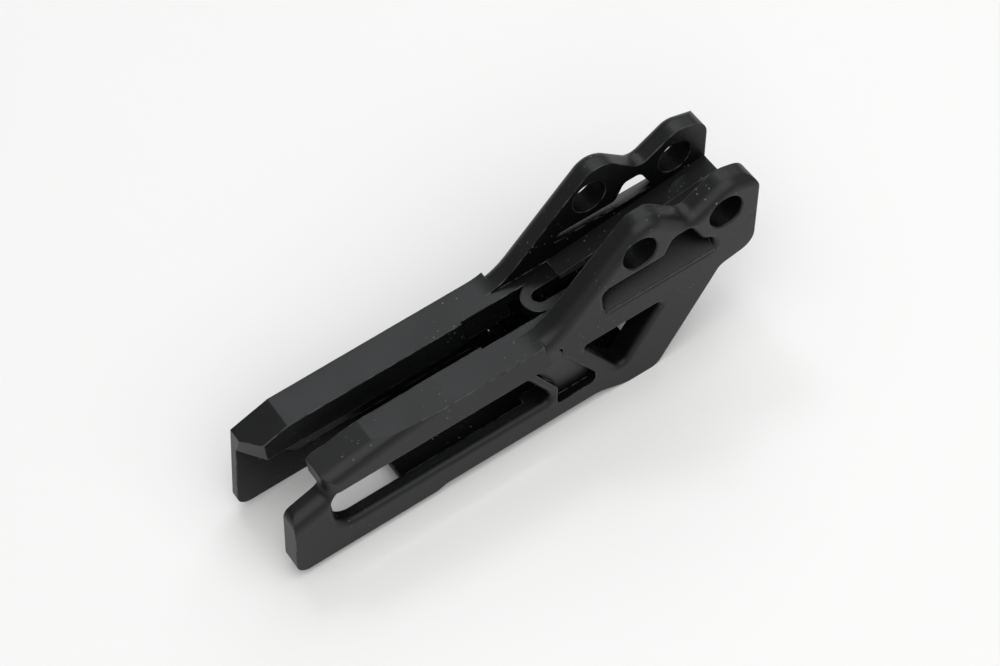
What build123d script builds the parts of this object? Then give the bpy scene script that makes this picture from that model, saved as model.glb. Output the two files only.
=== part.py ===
from build123d import *
import os
from math import radians, sin, tan

# Chain guide for a swingarm, moulded in one piece. X runs along the chain, Y across it, Z up.
# Lengths are measured from the front cross hole and heights from the long bottom edges.
# The finished body is moved down, so that the origin lies on the axis of the front cross hole.

# Across the part
HALF_WIDTH = 20.0        # middle plane to the outer faces
PLATE = 9.0              # side plates at the lugs and braces
NEAR_WALL = 5.5          # side walls beside the long windows
FAR_WALL = 3.5
RAIL_WIDTH = 14.0        # top face of a slide rail
RAIL_RELIEF = 1.0        # a rail is narrower by this much next to the lugs
SLOT_WIDTH = 6.0         # slot in the floor between the lugs
LIP = 4.0                # wall round the slot's tail end
TONGUE = 8.0             # the near tail tip, in thickness
LEAD_IN_ACROSS = 9.5     # bevel on the inner corner of the far rail's end
LEAD_IN_ALONG = 5.5

# Cross holes for the fixing bolts
HOLE_RADIUS = 6.8
HOLE_RIM = 0.5           # edge break round each hole
FRONT_HOLE_Z = 63.3
REAR_HOLE_X = 35.3
REAR_HOLE_Z = 58.6

# Rails and tail tips
RAIL_TOP = 43.0
RAIL_DEPTH = 11.5
RAIL_END = -39.0         # the rails meet the lug floor here
RELIEF_START = -58.0
FAR_KINK = -128.0        # the nose slopes start here
NEAR_KINK = -108.0
NEAR_NOSE = -129.0       # end of the near rail
TIP_TOP = -143.5         # the end faces lean: their top edges, then their feet
NEAR_FOOT = -147.5
FAR_FOOT = -150.5
FAR_NOSE_DROP = 4.7
NEAR_NOSE_DROP = 3.4
TONGUE_DROP = 4.5        # the near tongue falls by this much towards the tail
TIP_ROUND = 4.5

# Bottom edges and foot
STEP_TAIL = -90.5        # short step in the bottom edges
STEP_FRONT = -86.5
EDGE_STEP = 1.3
FOOT_START = -22.5
FOOT_LOW = -11.0
FOOT_DROP = 2.9          # the foot hangs below the bottom edges
FOOT_END = 1.9
STEP_ROUND = 2.0
FOOT_BEND = 13.0
FOOT_ROUND = 6.0

# Lugs
FLANK_LEAN = 0.84        # the rear flank moves this far in X for each step in Z
NECK_Z = 32.0            # the flank ends in the lugs' lower edge
BEAK_X = 45.6            # lower rear corner of the lugs
BEAK_RISE = 2.6
END_BEHIND_HOLE = 14.7   # upper rear corner, from the rear hole
END_ABOVE_HOLE = 8.9
CROWN_BEHIND_HOLE = 2.2  # crest over the rear hole
CROWN_ABOVE_HOLE = 12.8
SADDLE_X = 21.4
SADDLE_Z = 63.6
HUMP_X = 5.0             # crest over the front hole
HUMP_ABOVE_HOLE = 15.3
SLOPE_FOOT = -39.3       # the front slope meets the level of the rails here
NECK_ROUND = 5.0
BEAK_ROUND = 7.0
CROWN_ROUND = 9.0
HUMP_ROUND = 10.0
SLOPE_BEND = 24.0
LUG_EDGE = 4.5           # soft outer top edges of the lugs
LUG_EDGE_START = -41.0   # the rails' outer edges are sharp up to here
TIP_EDGE = 5.0           # soft outer top edge of the near tip

# Openings in the sides
BAR = 12.0               # height of the bar below the long window
LONG_TAIL = -128.5
KNEE_X = -38.4           # bend in the tail side of the middle window
KNEE_Z = 17.5
RIB_LEAN = 0.54          # slant of that side above the bend
RIB = 4.2                # rib between the long and middle windows, along X
MIDDLE_TOP = 38.0
MIDDLE_FOOT = 8.8
MIDDLE_CORNER_Z = 14.0
STRUT_LEAN = 0.577
STRUT = 6.4              # strut between the middle and corner windows, along X
CORNER_TOP = 30.2
CORNER_TIP = 7.0
FLANK = 22.8             # solid part between the corner window and the flank, along X
DRAIN_TAIL = -15.6       # slot above the floor
DRAIN_FRONT = 29.4
DRAIN_HEIGHT = 10.4
DRAIN_LOW_END = 5.0
BUMP_TOP = 60.0          # the slot rises between the two holes
BUMP_HALF_TOP = 3.5
BUMP_HALF_FOOT = 7.8
SILL_RISE = 7.0          # the slot's sill rises by this much towards the inside
SILL_EDGE = 2.5          # soft outer edges of the openings
ROUND_SMALL = 1.2        # corner roundings of the openings
ROUND = 3.0
ROUND_LARGE = 7.0
PANEL = 2.5              # sloped panel in the middle window
PANEL_LEAN = 3.5         # its foot stands in from the outer face by this much
PANEL_GAP = 2.2          # gap beside its upper tail corner
PANEL_SLIT = 2.4         # gap beside its upper lug corner

# Floor, bottom plate and braces
BRACE_START = -50.0      # the side plates are thick from here on
FLOOR_DEPTH = 4.5
FLOOR_END = 47.5
SLOT_TAIL = -29.8        # centres of the slot's round ends
SLOT_FRONT = 24.0
BASE_TAIL = -98.5
BASE_FRONT = -2.5
BASE_TOP = 4.0

INNER = HALF_WIDTH - PLATE
RAIL_IN = HALF_WIDTH - RAIL_WIDTH
RAIL_UNDER = RAIL_TOP - RAIL_DEPTH
FLOOR_UNDER = RAIL_TOP - FLOOR_DEPTH
OVER = 1.0               # cutters and joined blocks run over by this much
FAR_AWAY = 300.0         # beyond the part in every direction


def outline(corners):
    """Flat face in X and Z from corners (x, z, radius), each rounded by its radius."""
    spans = []
    for i, (x, z, radius) in enumerate(corners):
        here = Vector(x, z)
        back = Vector(*corners[i - 1][:2]) - here
        ahead = Vector(*corners[(i + 1) % len(corners)][:2]) - here
        half = radians(back.get_angle(ahead)) / 2
        reach = min(radius / tan(half), 0.49 * min(back.length, ahead.length))
        inward = (back.normalized() + ahead.normalized()).normalized()
        middle = here + inward * reach * tan(half) * (1 / sin(half) - 1)
        spans.append((here + back.normalized() * reach, middle, here + ahead.normalized() * reach))
    with BuildSketch(Plane.XZ) as sketch:
        with BuildLine():
            for i, (start, middle, end) in enumerate(spans):
                if corners[i][2] > 0:
                    ThreePointArc(start, middle, end)
                Line(end, spans[(i + 1) % len(spans)][0])
        make_face()
    return sketch.sketch


def slab(face, low, high):
    """The face in X and Z, made solid from Y = low to Y = high."""
    return Pos(0, high, 0) * extrude(face, amount=high - low)


def block(x0, x1, y0, y1, z0, z1):
    return Pos((x0 + x1) / 2, (y0 + y1) / 2, (z0 + z1) / 2) * Box(x1 - x0, y1 - y0, z1 - z0)


def flank_x(z):
    """The rear flank's line at a height."""
    return FOOT_END + (z + FOOT_DROP) * FLANK_LEAN


def strut_x(z):
    """The tail side of the corner window at a height."""
    return flank_x(CORNER_TIP) - FLANK - (z - CORNER_TIP) * STRUT_LEAN


def rib_x(z):
    """The tail side of the middle window at a height."""
    return KNEE_X - (z - KNEE_Z) * RIB_LEAN


def far_tail():
    nose_z = RAIL_TOP - FAR_NOSE_DROP
    return [(FAR_KINK, RAIL_TOP, 0), (TIP_TOP, nose_z, 0), (FAR_FOOT, 0, TIP_ROUND)]


def near_tail(tip_round):
    nose_z = RAIL_TOP - NEAR_NOSE_DROP
    return [
        (NEAR_KINK, RAIL_TOP, 0),
        (NEAR_NOSE, nose_z, 0),
        (NEAR_NOSE, RAIL_UNDER, ROUND),
        (TIP_TOP, RAIL_UNDER - TONGUE_DROP, tip_round),
        (NEAR_FOOT, 0, TIP_ROUND),
    ]


def side_outline(side, tip_round=TIP_ROUND, end_round=ROUND_LARGE):
    """Outline of a side, from its tail along the bottom and round the lugs: +1 far, -1 near."""
    tail = far_tail() if side > 0 else near_tail(tip_round)
    return outline(tail + [
        (STEP_TAIL, 0, STEP_ROUND),
        (STEP_FRONT, EDGE_STEP, STEP_ROUND),
        (FOOT_START, EDGE_STEP, FOOT_BEND),
        (FOOT_LOW, -FOOT_DROP, FOOT_BEND),
        (FOOT_END, -FOOT_DROP, FOOT_ROUND),
        (flank_x(NECK_Z), NECK_Z, NECK_ROUND),
        (BEAK_X, NECK_Z + BEAK_RISE, BEAK_ROUND),
        (REAR_HOLE_X + END_BEHIND_HOLE, REAR_HOLE_Z + END_ABOVE_HOLE, end_round),
        (REAR_HOLE_X + CROWN_BEHIND_HOLE, REAR_HOLE_Z + CROWN_ABOVE_HOLE, CROWN_ROUND),
        (SADDLE_X, SADDLE_Z, NECK_ROUND),
        (HUMP_X, FRONT_HOLE_Z + HUMP_ABOVE_HOLE, HUMP_ROUND),
        (SLOPE_FOOT, RAIL_TOP, SLOPE_BEND),
    ])


def window_long():
    return outline([
        (LONG_TAIL, BAR, ROUND_LARGE),
        (rib_x(KNEE_Z) - RIB + ROUND_SMALL, BAR, ROUND),
        (rib_x(KNEE_Z) - RIB, KNEE_Z, ROUND),
        (rib_x(RAIL_UNDER) - RIB, RAIL_UNDER, ROUND_LARGE),
        (LONG_TAIL, RAIL_UNDER, ROUND_LARGE),
    ])


def window_middle():
    return outline([
        (KNEE_X - ROUND_SMALL, MIDDLE_FOOT, ROUND_SMALL),
        (strut_x(MIDDLE_CORNER_Z) - STRUT, MIDDLE_FOOT, ROUND),
        (strut_x(MIDDLE_CORNER_Z) - STRUT, MIDDLE_CORNER_Z, ROUND),
        (strut_x(MIDDLE_TOP - FLOOR_DEPTH) - STRUT, MIDDLE_TOP - FLOOR_DEPTH, ROUND),
        (strut_x(MIDDLE_TOP - FLOOR_DEPTH) - STRUT, MIDDLE_TOP, ROUND_SMALL),
        (rib_x(MIDDLE_TOP), MIDDLE_TOP, ROUND_SMALL),
        (KNEE_X, KNEE_Z, ROUND),
    ])


def window_corner():
    return outline([
        (flank_x(CORNER_TIP) - FLANK, CORNER_TIP, ROUND),
        (flank_x(CORNER_TOP) - FLANK, CORNER_TOP, ROUND_SMALL),
        (strut_x(CORNER_TOP), CORNER_TOP, ROUND_SMALL),
    ])


def window_drain():
    """Slot above the floor, with a rise midway between the two holes."""
    top = RAIL_TOP + DRAIN_HEIGHT
    middle = REAR_HOLE_X / 2
    return outline([
        (DRAIN_TAIL, RAIL_TOP, ROUND),
        (DRAIN_FRONT, RAIL_TOP, ROUND),
        (DRAIN_FRONT, RAIL_TOP + DRAIN_LOW_END, ROUND),
        (middle + BUMP_HALF_FOOT, top - ROUND, ROUND),
        (middle + BUMP_HALF_TOP, BUMP_TOP, ROUND),
        (middle - BUMP_HALF_TOP, BUMP_TOP, ROUND),
        (middle - BUMP_HALF_FOOT, top, ROUND),
        (DRAIN_TAIL, top, ROUND),
    ])


def open_window(body, face, wall):
    """Cut a window through a side and soften its outer edge."""
    body -= slab(face, INNER - OVER, HALF_WIDTH + OVER)
    box = face.bounding_box()
    rim = [edge for edge in body.edges() if on_outer_face(edge) and in_frame(edge.center(), box)]
    return fillet(rim, min(SILL_EDGE, 0.8 * wall))


def on_outer_face(edge):
    return edge.center().Y > HALF_WIDTH - 0.1


def in_frame(spot, box):
    return box.min.X - 0.1 < spot.X < box.max.X + 0.1 and box.min.Z - 0.1 < spot.Z < box.max.Z + 0.1


def skin(side):
    """A side's outer shape: soft outer edges on the lugs and the near tip, sharp ones on the rail."""
    square = slab(side_outline(side, tip_round=0, end_round=0), 0, HALF_WIDTH)
    body = fillet([edge for edge in square.edges() if on_outer_face(edge) and on_lug_top(edge)], LUG_EDGE)
    body += square & below(LUG_EDGE_START)
    if side < 0:
        body = fillet([edge for edge in body.edges() if on_outer_face(edge) and on_tip(edge)], TIP_EDGE)
    return body


def on_lug_top(edge):
    """Edges above the rails, apart from the steep rear end."""
    return edge.center().Z > RAIL_TOP + OVER and abs((edge % 0.5).Z) < 0.9


def on_tip(edge):
    """Edges of the near tail's nose slope, its drop and its tongue."""
    spot = edge.center()
    return spot.X < NEAR_KINK and RAIL_UNDER - TONGUE_DROP < spot.Z < RAIL_TOP - 0.1


def below(x):
    """Everything on the tail side of x."""
    return block(-FAR_AWAY, x, 0, FAR_AWAY, -FAR_AWAY, FAR_AWAY)


def side_plate(side):
    """One side: thin tail wall, thick lug plate, openings, slide rail and cross holes."""
    wall = FAR_WALL if side > 0 else NEAR_WALL
    face = side_outline(side)
    body = slab(face, HALF_WIDTH - wall, HALF_WIDTH)
    body += slab(face, INNER, HALF_WIDTH) - below(BRACE_START)
    if side < 0:
        body += slab(face, HALF_WIDTH - TONGUE, HALF_WIDTH) & below(LONG_TAIL)
    body = open_window(body, window_long(), wall)
    body = open_window(body, window_corner(), PLATE)
    body = open_window(body, window_drain(), PLATE)
    body -= slab(window_middle(), INNER - OVER, HALF_WIDTH + OVER)
    body += rail(side, face)
    body += panel()
    body += drain_sill()
    for x, z in ((0, FRONT_HOLE_Z), (REAR_HOLE_X, REAR_HOLE_Z)):
        body -= cross_hole(x, z)
    body &= skin(side)
    return body if side > 0 else mirror(body, Plane.XZ)


def rail(side, face):
    """Slide rail on the inside of a side wall, relieved near the lugs and bevelled at the far end."""
    body = slab(face, RAIL_IN, HALF_WIDTH) & block(-FAR_AWAY, RAIL_END, 0, HALF_WIDTH, RAIL_UNDER, RAIL_TOP)
    body -= block(RELIEF_START, RAIL_END, 0, RAIL_IN + RAIL_RELIEF, 0, FAR_AWAY)
    if side < 0:
        return body - below(NEAR_NOSE)
    start = TIP_TOP + LEAD_IN_ALONG
    bevel = Polyline((start, RAIL_IN), (start, 0), (-FAR_AWAY, 0), (-FAR_AWAY, RAIL_IN + LEAD_IN_ACROSS),
                     (TIP_TOP - OVER, RAIL_IN + LEAD_IN_ACROSS), close=True)
    return body - extrude(make_face(bevel), amount=FAR_AWAY)


def panel():
    """Sloped panel in the middle window, in the outer face at its top and further in at its foot."""
    top, low = MIDDLE_TOP + OVER, MIDDLE_FOOT - OVER
    foot = HALF_WIDTH - PANEL_LEAN
    lean = Polyline((HALF_WIDTH, top), (foot, low), (foot - PANEL, low), (HALF_WIDTH - PANEL, top), close=True)
    body = Pos(-FAR_AWAY, 0, 0) * extrude(Plane.YZ * make_face(lean), amount=2 * FAR_AWAY)
    lug_side = strut_x(MIDDLE_TOP - FLOOR_DEPTH) - STRUT
    shape = outline([
        (rib_x(top) + PANEL_GAP, top, 0),
        (rib_x(KNEE_Z) - OVER, KNEE_Z, 0),
        (KNEE_X - 2 * OVER, low, 0),
        (strut_x(low), low, 0),
        (lug_side + 2 * OVER, RAIL_UNDER, 0),
        (lug_side - PANEL_SLIT, top, 0),
    ])
    return body & slab(shape, INNER, HALF_WIDTH)


def drain_sill():
    """Wedge that lifts the drain slot's lower edge towards the inside."""
    wedge = Polyline((HALF_WIDTH, RAIL_TOP), (HALF_WIDTH, RAIL_TOP - OVER), (INNER, RAIL_TOP - OVER),
                     (INNER, RAIL_TOP + SILL_RISE), close=True)
    body = Pos(DRAIN_TAIL, 0, 0) * extrude(Plane.YZ * make_face(wedge), amount=DRAIN_FRONT - DRAIN_TAIL)
    return body


def cross_hole(x, z):
    drill = Pos(x, HALF_WIDTH, z) * Rot(90, 0, 0) * Cylinder(HOLE_RADIUS, 4 * PLATE)
    rim = Cone(HOLE_RADIUS + HOLE_RIM, HOLE_RADIUS, HOLE_RIM)
    return drill + Pos(x, HALF_WIDTH - HOLE_RIM / 2, z) * Rot(90, 0, 0) * rim


def floor():
    """Floor between the lugs, with a long slot and a round lip at its tail end."""
    half = SLOT_WIDTH / 2
    wide = half + LIP
    body = block(RAIL_END, FLOOR_END, -INNER - OVER, INNER + OVER, FLOOR_UNDER, RAIL_TOP)
    body -= block(RAIL_END - OVER, SLOT_TAIL, -wide, wide, 0, FAR_AWAY)
    body += Pos(SLOT_TAIL, 0, RAIL_TOP - FLOOR_DEPTH / 2) * Cylinder(wide, FLOOR_DEPTH)
    body -= block(SLOT_TAIL, SLOT_FRONT, -half, half, 0, FAR_AWAY)
    for x in (SLOT_TAIL, SLOT_FRONT):
        body -= Pos(x, 0, RAIL_TOP) * Cylinder(half, 2 * RAIL_DEPTH)
    return body


def base():
    """Bottom plate between the side walls, following their bottom edges."""
    whole = slab(side_outline(1), NEAR_WALL - OVER - HALF_WIDTH, HALF_WIDTH - FAR_WALL + OVER)
    return whole & block(BASE_TAIL, BASE_FRONT, -HALF_WIDTH, HALF_WIDTH, -FAR_AWAY, BASE_TOP)


def guide_body():
    body = side_plate(1) + side_plate(-1)
    body += floor()
    body += base()
    return Pos(0, 0, -FRONT_HOLE_Z) * body


os.makedirs("parts", exist_ok=True)
export_step(guide_body(), "parts/guide_body.step")
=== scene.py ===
# %% [markdown]
# # Chain guide in black moulded nylon
# A chain guide keeps a motorcycle's drive chain in line below the swingarm. It is one
# black moulding: two slide rails, side walls with long windows, and a forked mount with
# two pairs of cross holes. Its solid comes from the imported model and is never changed
# here. This file adds a camera, a paper floor, lamps, the look of the plastic, and plain
# prisms for three forms that the solid lacks.

import bpy
import numpy as np
from mathutils import Matrix, Vector


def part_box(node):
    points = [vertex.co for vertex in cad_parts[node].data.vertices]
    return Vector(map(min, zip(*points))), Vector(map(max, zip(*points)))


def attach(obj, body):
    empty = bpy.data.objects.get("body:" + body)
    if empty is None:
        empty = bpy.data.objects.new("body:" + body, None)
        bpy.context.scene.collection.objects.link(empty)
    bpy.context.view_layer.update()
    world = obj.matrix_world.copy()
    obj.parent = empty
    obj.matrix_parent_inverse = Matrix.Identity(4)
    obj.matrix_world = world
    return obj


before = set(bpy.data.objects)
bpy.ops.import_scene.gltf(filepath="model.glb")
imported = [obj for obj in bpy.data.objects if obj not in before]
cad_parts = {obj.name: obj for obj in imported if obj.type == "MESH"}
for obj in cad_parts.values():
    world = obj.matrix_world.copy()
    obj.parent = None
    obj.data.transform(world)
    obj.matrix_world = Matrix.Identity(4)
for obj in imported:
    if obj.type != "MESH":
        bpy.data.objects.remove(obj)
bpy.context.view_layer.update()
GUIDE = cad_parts["guide_body"]
MM = 0.001
print("loaded", GUIDE.name, "with", len(GUIDE.data.vertices), "vertices")

# %% [markdown]
# ## Camera
# The photograph was taken with a long lens from the front left, well above the part.
# Its place was worked out from straight edges and hole rims. A camera can be aimed with
# a constraint, but a plain matrix from three axes gives the same roll as the photograph
# each time, so the axes are written down here.

# %% Photograph's camera
CAMERA_PLACE = Vector((-0.2897, -0.5258, 0.7609))
CAMERA_RIGHT = Vector((0.8344, -0.5412, -0.1043))
CAMERA_UP = Vector((0.4924, 0.6468, 0.5825))
SENSOR_MM = 36.0
LENS_MM = 102.29
CLIP_NEAR = 0.05

camera_data = bpy.data.cameras.new("camera")
camera_data.sensor_width = SENSOR_MM
camera_data.lens = LENS_MM
camera_data.clip_start = CLIP_NEAR
camera = bpy.data.objects.new("camera", camera_data)
bpy.context.scene.collection.objects.link(camera)
camera_back = CAMERA_RIGHT.cross(CAMERA_UP).normalized()
camera_turn = Matrix((CAMERA_RIGHT, CAMERA_UP, camera_back)).transposed().to_4x4()
camera.matrix_world = Matrix.Translation(CAMERA_PLACE) @ camera_turn
bpy.context.scene.camera = camera
bpy.context.scene.view_settings.view_transform = "Standard"
print("camera", tuple(round(value, 3) for value in camera.location))

# %% [markdown]
# ## Floor
# The guide lies on a sheet of white paper. A large flat plane at the lowest point
# catches its soft shadow. The paper has no edge in view, so a plane is enough.
# Its colour makes the backdrop, not more light on the object.

# %% White paper floor
PAPER_HALF = 3.0


def flat_sheet(name, half, height):
    """Square sheet: a 2 by 2 grid of points (x, y) in [-half, half] at one height."""
    side = np.array((-half, half))
    x, y = np.meshgrid(side, side)
    points = np.stack((x.ravel(), y.ravel(), np.full(x.size, height)), axis=1)
    mesh = bpy.data.meshes.new(name)
    mesh.from_pydata(points.tolist(), [], [(0, 1, 3, 2)])
    sheet = bpy.data.objects.new(name, mesh)
    bpy.context.scene.collection.objects.link(sheet)
    return sheet


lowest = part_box("guide_body")[0].z
floor = flat_sheet("paper_floor", PAPER_HALF, lowest)
print("floor at", round(lowest / MM, 2), "mm")

# %% [markdown]
# ## Paper
# Plain matt paper, almost white. One colour would do from afar. Noise costs nothing, and
# its faint clouds keep the sheet from looking like an empty background.

# %% Paper material
PAPER_COLOUR = (0.858, 0.855, 0.848, 1.0)
PAPER_CLOUD = (0.848, 0.845, 0.838, 1.0)
PAPER_CLOUD_SCALE = 9.0
PAPER_ROUGH = 0.9
PAPER_SHEEN = 0.1


def new_material(name):
    """A material with an empty node tree, and short ways to reach its nodes and links."""
    material = bpy.data.materials.new(name)
    material.use_nodes = True
    material.node_tree.nodes.clear()
    return material, material.node_tree.nodes, material.node_tree.links


def colour_mix(nodes, first, second):
    """A colour mix between two fixed colours; its factor stays open."""
    mix = nodes.new("ShaderNodeMix")
    mix.data_type = "RGBA"
    mix.inputs["A"].default_value = first
    mix.inputs["B"].default_value = second
    return mix


def paper():
    """Matt paper whose colour drifts between two near whites."""
    material, nodes, links = new_material("white_paper")
    out = nodes.new("ShaderNodeOutputMaterial")
    surface = nodes.new("ShaderNodeBsdfPrincipled")
    surface.inputs["Roughness"].default_value = PAPER_ROUGH
    surface.inputs["Specular IOR Level"].default_value = PAPER_SHEEN
    place = nodes.new("ShaderNodeTexCoord")
    clouds = nodes.new("ShaderNodeTexNoise")
    clouds.inputs["Scale"].default_value = PAPER_CLOUD_SCALE
    tint = colour_mix(nodes, PAPER_COLOUR, PAPER_CLOUD)
    links.new(place.outputs["Object"], clouds.inputs["Vector"])
    links.new(clouds.outputs["Fac"], tint.inputs["Factor"])
    links.new(tint.outputs["Result"], surface.inputs["Base Color"])
    links.new(surface.outputs["BSDF"], out.inputs["Surface"])
    return material


floor.data.materials.append(paper())
print("floor wears", floor.data.materials[0].name)

# %% [markdown]
# ## Light
# Black plastic shows its surroundings more than its own colour. The rail tops are pale
# because they mirror a softbox behind the right end, and the lug slopes are dark because
# they mirror the dim room at the left. So the softbox stands where the tops need it, and
# a narrow strip beside it lifts the tops a little more. A wide light in front fills the
# shadows, and the room is a weak even grey. Directions and distances start at the point
# that all lamps face.

# %% World and lamps
ROOM = 0.24
WHITE = (1.0, 1.0, 1.0)
COOL = (0.96, 0.985, 1.0)
AIM = Vector((-0.05, 0.0, 0.0))
SOFTBOX_WAY = Vector((0.52, 0.52, 0.70))
SOFTBOX_AWAY = 2.6
SOFTBOX_WIDTH = 1.8
SOFTBOX_WATTS = 16.0
STRIP_WAY = Vector((0.12, 0.56, 0.82))
STRIP_AWAY = 2.6
STRIP_WIDTH = 0.5
STRIP_WATTS = 5.8
FRONT_WAY = Vector((0.0, -0.45, 0.90))
FRONT_AWAY = 2.4
FRONT_WIDTH = 3.9
FRONT_WATTS = 82.0


def room_light():
    """Even weak light from all sides."""
    room = bpy.data.worlds.new("room")
    bpy.context.scene.world = room
    room.use_nodes = True
    background = room.node_tree.nodes["Background"]
    background.inputs["Color"].default_value = (*WHITE, 1.0)
    background.inputs["Strength"].default_value = ROOM


def softbox(name, way, away, width, power, colour):
    """Square lamp that faces AIM from one direction."""
    data = bpy.data.lights.new(name, "AREA")
    data.color = colour
    data.shape = "SQUARE"
    data.size = width
    data.energy = power
    lamp = bpy.data.objects.new(name, data)
    lamp.location = AIM + way.normalized() * away
    lamp.rotation_euler = (-way).to_track_quat("-Z", "Y").to_euler()
    bpy.context.scene.collection.objects.link(lamp)
    print(name, power, "W from", away, "m")


room_light()
softbox("softbox_back", SOFTBOX_WAY, SOFTBOX_AWAY, SOFTBOX_WIDTH, SOFTBOX_WATTS, COOL)
softbox("softbox_strip", STRIP_WAY, STRIP_AWAY, STRIP_WIDTH, STRIP_WATTS, COOL)
softbox("softbox_front", FRONT_WAY, FRONT_AWAY, FRONT_WIDTH, FRONT_WATTS, WHITE)

# %% [markdown]
# ## Effects on the plastic
# Four effects make the moulded surface look real, and each one is a node group, so that
# it can be tuned in one place: fine grain, worn edges with a painted edge highlight,
# painted shade in recesses, and dust. Images could hold them, but noise in object
# coordinates has no seam and keeps its real size on every face. Lengths in these cells
# are metres.

# %% Helpers for node groups
def new_group(name, inputs, outputs):
    """A shader node group; inputs and outputs are pairs of a name and a socket type."""
    group = bpy.data.node_groups.new(name, "ShaderNodeTree")
    for label, kind in inputs:
        group.interface.new_socket(label, in_out="INPUT", socket_type=kind)
    for label, kind in outputs:
        group.interface.new_socket(label, in_out="OUTPUT", socket_type=kind)
    entry = group.nodes.new("NodeGroupInput")
    leave = group.nodes.new("NodeGroupOutput")
    return group, group.nodes, group.links, entry, leave


def noise(nodes, scale, detail):
    """Cloudy values around one half; a larger scale makes smaller clouds."""
    texture = nodes.new("ShaderNodeTexNoise")
    texture.inputs["Scale"].default_value = scale
    texture.inputs["Detail"].default_value = detail
    return texture


def fade(nodes, start, end):
    """Maps start..end to 0..1 without going past either; start may be the larger."""
    step = nodes.new("ShaderNodeMapRange")
    step.inputs["From Min"].default_value = start
    step.inputs["From Max"].default_value = end
    return step


def multiply(nodes, links, first, second):
    """The product of two values."""
    both = nodes.new("ShaderNodeMath")
    both.operation = "MULTIPLY"
    links.new(first, both.inputs[0])
    links.new(second, both.inputs[1])
    return both.outputs["Value"]


# %% [markdown]
# ## Moulded grain
# The mould leaves a fine grain, and the plastic sinks in slow waves as it cools. As
# geometry that would take millions of faces. Two bump nodes in a row tilt the normal
# instead, first for the waves and then for the grain.

# %% Moulded grain
WAVE_SCALE = 90.0
WAVE_DETAIL = 3.0
WAVE_DEPTH = 0.00006
GRAIN_SCALE = 2600.0
GRAIN_DETAIL = 2.0
GRAIN_DEPTH = 0.000012


def grain_group():
    """Fine grain over slow waves, as a normal."""
    group, nodes, links, entry, leave = new_group(
        "moulded_grain",
        [("Place", "NodeSocketVector"), ("Edge Normal", "NodeSocketVector")],
        [("Normal", "NodeSocketVector")],
    )
    waves = noise(nodes, WAVE_SCALE, WAVE_DETAIL)
    grain = noise(nodes, GRAIN_SCALE, GRAIN_DETAIL)
    slow = nodes.new("ShaderNodeBump")
    slow.inputs["Distance"].default_value = WAVE_DEPTH
    fine = nodes.new("ShaderNodeBump")
    fine.inputs["Distance"].default_value = GRAIN_DEPTH
    links.new(entry.outputs["Place"], waves.inputs["Vector"])
    links.new(entry.outputs["Place"], grain.inputs["Vector"])
    links.new(entry.outputs["Edge Normal"], slow.inputs["Normal"])
    links.new(waves.outputs["Fac"], slow.inputs["Height"])
    links.new(slow.outputs["Normal"], fine.inputs["Normal"])
    links.new(grain.outputs["Fac"], fine.inputs["Height"])
    links.new(fine.outputs["Normal"], leave.inputs["Normal"])
    return group


moulded_grain = grain_group()
print("group", moulded_grain.name)

# %% [markdown]
# ## Worn edges and painted edge highlights
# Edges of a moulding are never quite sharp, and handling pales them. A bevel node gives
# the normal that a small rounding would have. Where it differs from the surface's own
# normal, there is an edge, so the dot product of the two also makes the mask for the
# paler colour. That colour is part wear and part painted highlight, the light that a
# small rounding catches. Noise breaks the mask up, as wear is never even.

# %% Worn edges and painted edge highlights
EDGE_RADIUS = 0.0008
EDGE_SAMPLES = 6
EDGE_SOFT = 0.95
EDGE_SHARP = 0.78
EDGE_PATCH_SCALE = 240.0
EDGE_PATCH_DETAIL = 3.0
EDGE_PATCH_NONE = 0.42
EDGE_PATCH_FULL = 0.62


def edge_group():
    """Rounded normal near edges, and a patchy mask for pale edges: wear and painted
    highlight.
    """
    group, nodes, links, entry, leave = new_group(
        "edge_wear_and_highlight",
        [("Place", "NodeSocketVector")],
        [("Edge Normal", "NodeSocketVector"), ("Wear And Highlight", "NodeSocketFloat")],
    )
    rounded = nodes.new("ShaderNodeBevel")
    rounded.samples = EDGE_SAMPLES
    rounded.inputs["Radius"].default_value = EDGE_RADIUS
    own = nodes.new("ShaderNodeNewGeometry")
    alike = nodes.new("ShaderNodeVectorMath")
    alike.operation = "DOT_PRODUCT"
    near_edge = fade(nodes, EDGE_SOFT, EDGE_SHARP)
    patches = noise(nodes, EDGE_PATCH_SCALE, EDGE_PATCH_DETAIL)
    patchy = fade(nodes, EDGE_PATCH_NONE, EDGE_PATCH_FULL)
    links.new(rounded.outputs["Normal"], alike.inputs[0])
    links.new(own.outputs["Normal"], alike.inputs[1])
    links.new(alike.outputs["Value"], near_edge.inputs["Value"])
    links.new(entry.outputs["Place"], patches.inputs["Vector"])
    links.new(patches.outputs["Fac"], patchy.inputs["Value"])
    both = multiply(nodes, links, near_edge.outputs["Result"], patchy.outputs["Result"])
    links.new(rounded.outputs["Normal"], leave.inputs["Edge Normal"])
    links.new(both, leave.inputs["Wear And Highlight"])
    return group


edge_wear_and_highlight = edge_group()
print("group", edge_wear_and_highlight.name)

# %% [markdown]
# ## Painted shade in recesses
# Inside the guide the photograph is almost black, darker than these lamps alone would
# make it. An ambient occlusion node finds how much of its surroundings each spot can
# see past the guide's own walls, and deep spots lose their sheen. This is painted
# shade, an aid to the look, not something that the real plastic does.

# %% Painted shade in recesses
RECESS_DEPTH = 0.06
RECESS_SAMPLES = 8
RECESS_DARK = 0.56
RECESS_OPEN = 0.80
SHEEN_DULL = 0.0
SHEEN_FULL = 0.5


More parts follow.
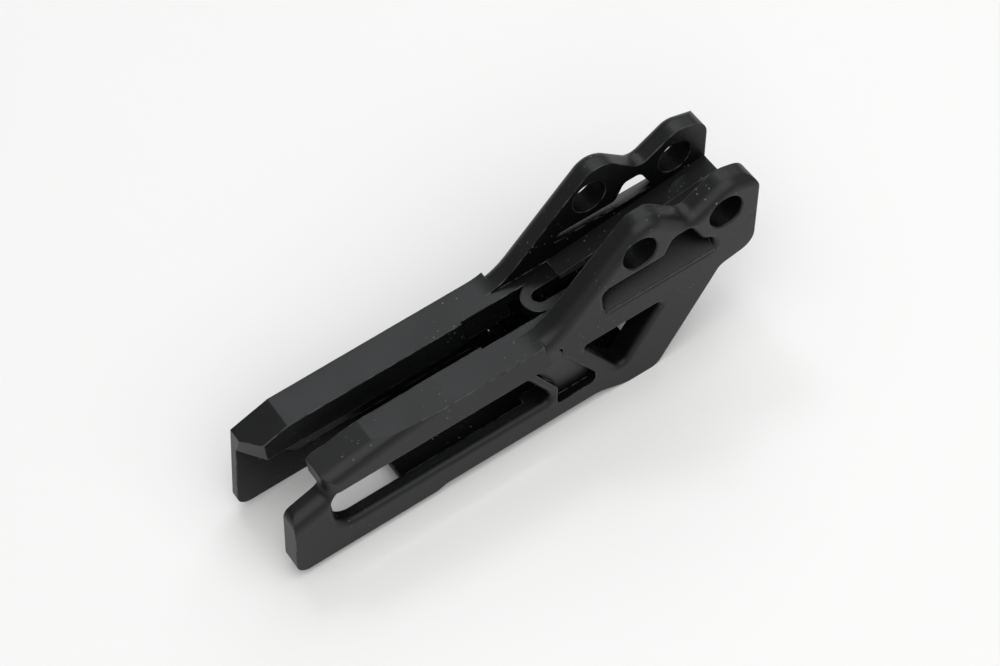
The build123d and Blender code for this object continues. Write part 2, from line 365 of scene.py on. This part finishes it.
def recess_group():
    """Painted shade: sheen from dull, deep in a recess, to full in the open."""
    group, nodes, links, _, leave = new_group("recesses", [], [("Sheen", "NodeSocketFloat")])
    shade = nodes.new("ShaderNodeAmbientOcclusion")
    shade.samples = RECESS_SAMPLES
    shade.only_local = True
    shade.inputs["Distance"].default_value = RECESS_DEPTH
    openness = fade(nodes, RECESS_DARK, RECESS_OPEN)
    openness.inputs["To Min"].default_value = SHEEN_DULL
    openness.inputs["To Max"].default_value = SHEEN_FULL
    links.new(shade.outputs["AO"], openness.inputs["Value"])
    links.new(openness.outputs["Result"], leave.inputs["Sheen"])
    return group


recess_shade = recess_group()
print("group", recess_shade.name)

# %% [markdown]
# ## Dust specks
# A few pale specks lie on the black plastic in the photograph. They could be tiny
# scattered pieces, but at this size a mask is enough. Each cell of a cell texture holds
# one round speck, and slow noise leaves most of the surface clean.

# %% Dust specks
DUST_SCALE = 420.0
DUST_RIM = 0.16
DUST_CORE = 0.08
DUST_PATCH_SCALE = 45.0
DUST_PATCH_DETAIL = 2.0
DUST_NONE = 0.52
DUST_FULL = 0.66


def dust_group():
    """Small round specks, thicker in some patches than in others."""
    group, nodes, links, entry, leave = new_group(
        "dust_specks",
        [("Place", "NodeSocketVector")],
        [("Dust", "NodeSocketFloat")],
    )
    cells = nodes.new("ShaderNodeTexVoronoi")
    cells.inputs["Scale"].default_value = DUST_SCALE
    speck = fade(nodes, DUST_RIM, DUST_CORE)
    patches = noise(nodes, DUST_PATCH_SCALE, DUST_PATCH_DETAIL)
    patchy = fade(nodes, DUST_NONE, DUST_FULL)
    links.new(entry.outputs["Place"], cells.inputs["Vector"])
    links.new(entry.outputs["Place"], patches.inputs["Vector"])
    links.new(cells.outputs["Distance"], speck.inputs["Value"])
    links.new(patches.outputs["Fac"], patchy.inputs["Value"])
    both = multiply(nodes, links, speck.outputs["Result"], patchy.outputs["Result"])
    links.new(both, leave.inputs["Dust"])
    return group


dust_specks = dust_group()
print("group", dust_specks.name)

# %% [markdown]
# ## Moulded nylon
# The plastic is near black and satin. Its own colour is so dark that almost all of what
# shows is reflection, so sheen and roughness matter most: the roughness changes in soft
# patches, and recesses lose their sheen as painted shade. Pale edges, part wear and part
# painted highlight, and dust only change the colour. Colour alone could not give the pale
# rail tops and the black inside at once.

# %% Nylon material
NYLON_DARK = (0.0030, 0.0032, 0.0036, 1.0)
NYLON_LIGHT = (0.0055, 0.0058, 0.0064, 1.0)
# Pale edge colour: edge wear together with a painted highlight on the small roundings.
WEAR_AND_HIGHLIGHT_COLOUR = (0.13, 0.13, 0.135, 1.0)
DUST_COLOUR = (0.13, 0.13, 0.125, 1.0)
PATCH_SCALE = 42.0
PATCH_DETAIL = 3.0
ROUGH_LOW = 0.34
ROUGH_HIGH = 0.50
NYLON_IOR = 1.40


def use_group(nodes, group):
    """A node that stands for one of the groups."""
    node = nodes.new("ShaderNodeGroup")
    node.node_tree = group
    return node


def nylon():
    """Near-black satin plastic with grain, worn edges with a painted highlight, painted
    recess shade and dust.
    """
    material, nodes, links = new_material("black_nylon")
    out = nodes.new("ShaderNodeOutputMaterial")
    surface = nodes.new("ShaderNodeBsdfPrincipled")
    surface.inputs["IOR"].default_value = NYLON_IOR
    place = nodes.new("ShaderNodeTexCoord")
    edges = use_group(nodes, edge_wear_and_highlight)
    grain = use_group(nodes, moulded_grain)
    dust = use_group(nodes, dust_specks)
    recesses = use_group(nodes, recess_shade)
    patches = noise(nodes, PATCH_SCALE, PATCH_DETAIL)
    tint = colour_mix(nodes, NYLON_DARK, NYLON_LIGHT)
    # Pale edges: wear together with a painted edge highlight.
    wear_and_highlight = colour_mix(nodes, NYLON_DARK, WEAR_AND_HIGHLIGHT_COLOUR)
    dusty = colour_mix(nodes, NYLON_DARK, DUST_COLOUR)
    roughness = nodes.new("ShaderNodeMapRange")
    roughness.inputs["To Min"].default_value = ROUGH_LOW
    roughness.inputs["To Max"].default_value = ROUGH_HIGH
    for node in (edges, grain, dust):
        links.new(place.outputs["Object"], node.inputs["Place"])
    links.new(place.outputs["Object"], patches.inputs["Vector"])
    links.new(edges.outputs["Edge Normal"], grain.inputs["Edge Normal"])
    links.new(patches.outputs["Fac"], tint.inputs["Factor"])
    links.new(tint.outputs["Result"], wear_and_highlight.inputs["A"])
    links.new(edges.outputs["Wear And Highlight"], wear_and_highlight.inputs["Factor"])
    links.new(wear_and_highlight.outputs["Result"], dusty.inputs["A"])
    links.new(dust.outputs["Dust"], dusty.inputs["Factor"])
    links.new(patches.outputs["Fac"], roughness.inputs["Value"])
    links.new(dusty.outputs["Result"], surface.inputs["Base Color"])
    links.new(roughness.outputs["Result"], surface.inputs["Roughness"])
    # Painted shade: the sheen falls where the guide's own walls hide the surroundings.
    links.new(recesses.outputs["Sheen"], surface.inputs["Specular IOR Level"])
    links.new(grain.outputs["Normal"], surface.inputs["Normal"])
    links.new(surface.outputs["BSDF"], out.inputs["Surface"])
    return material


black_nylon = nylon()
GUIDE.data.materials.clear()
GUIDE.data.materials.append(black_nylon)
print("material", black_nylon.name)

# %% [markdown]
# ## Forms that the solid lacks
# Three forms of the moulding show in the photograph and are missing in the solid: a floor
# that rises to the rear, a higher far wall below its long window, and a far wall that is
# closed behind the corner window. Each is made of plain prisms in the same plastic that
# grow out of the moulding. Booleans could join them, but overlapping prisms look the
# same. Lengths in these cells are millimetres, and heights start at the bottom edges.

# %% Helper for prisms
HOLE_HEIGHT = 63.3


def prism(name, ring, shift):
    """Solid between a flat ring of corners and its copy: points ring + t * shift, t = 0 or 1.
    The origin lies HOLE_HEIGHT above the bottom edges, where the heights start.
    """
    ring = np.array(ring) - (0.0, 0.0, HOLE_HEIGHT)
    if np.dot(np.cross(ring[1] - ring[0], ring[2] - ring[1]), shift) < 0:
        ring = ring[::-1]
    points = np.concatenate((ring, ring + shift)) * MM
    here = np.arange(len(ring))
    ahead = np.roll(here, -1)
    sides = np.stack((here, ahead, ahead + len(ring), here + len(ring)), axis=1)
    first_end = here[::-1].tolist()
    last_end = (here + len(ring)).tolist()
    mesh = bpy.data.meshes.new(name)
    mesh.from_pydata(points.tolist(), [], [first_end, last_end] + sides.tolist())
    mesh.materials.append(black_nylon)
    piece = bpy.data.objects.new(name, mesh)
    bpy.context.scene.collection.objects.link(piece)
    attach(piece, "root")
    print(name, [round(value / MM, 1) for value in piece.dimensions])


# %% [markdown]
# ## Rising floor
# In the photograph the floor between the lugs climbs towards its rear edge. Two strips
# beside the slot and one behind it leave the slot open. A single sheet with a hole would
# need a cut, and three strips don't.

# %% Rising floor between the lugs
FLOOR_Z = 43.0
FLOOR_LOW_X = -20.0
FLOOR_HIGH_X = 47.4
FLOOR_RISE = 7.5
FLOOR_RUN = 68.0
FLOOR_GRADE = FLOOR_RISE / FLOOR_RUN
FLOOR_HALF_WIDTH = 11.3
FLOOR_ROOT = 2.0
SLOT_HALF = 2.8
SLOT_END_X = 25.5


def ramp(name, low_x, low_y, high_y):
    """Strip of floor to the rear edge: top z = FLOOR_Z + FLOOR_GRADE * (x - FLOOR_LOW_X)."""
    ends = np.array((low_x, FLOOR_HIGH_X))
    front_top, rear_top = FLOOR_Z + (ends - FLOOR_LOW_X) * FLOOR_GRADE
    under = FLOOR_Z - FLOOR_ROOT
    ring = [(low_x, low_y, under), (FLOOR_HIGH_X, low_y, under),
            (FLOOR_HIGH_X, low_y, rear_top), (low_x, low_y, front_top)]
    prism(name, ring, (0.0, high_y - low_y, 0.0))


ramp("floor_near", FLOOR_LOW_X, -FLOOR_HALF_WIDTH, -SLOT_HALF)
ramp("floor_far", FLOOR_LOW_X, SLOT_HALF, FLOOR_HALF_WIDTH)
ramp("floor_rear", SLOT_END_X, -SLOT_HALF, SLOT_HALF)

# %% [markdown]
# ## Far wall
# The far wall stands higher below its long window than the solid's does, and it is
# closed where the near wall has its corner window. Both patches are a hair thinner than
# the wall, so that no two faces lie in one plane and flicker.

# %% Far wall below its long window and behind the corner window
OUTER_Y = 20.0
FAR_WALL = 3.5
INSET = 0.1
WALL_Y = OUTER_Y - FAR_WALL + INSET
WALL_SHIFT = (0.0, FAR_WALL - 2 * INSET, 0.0)
LOW_CORNERS = ((-131.0, 10.0), (-44.0, 10.0), (-44.0, 17.6), (-131.0, 17.6))
FRONT_CORNERS = ((-12.6, 3.0), (12.0, 33.0), (-30.0, 33.0))


def wall_patch(name, corners):
    """Upright prism inside the far wall from its corners (x, z)."""
    prism(name, [(x, WALL_Y, z) for x, z in corners], WALL_SHIFT)


wall_patch("far_wall_low", LOW_CORNERS)
wall_patch("far_wall_front", FRONT_CORNERS)
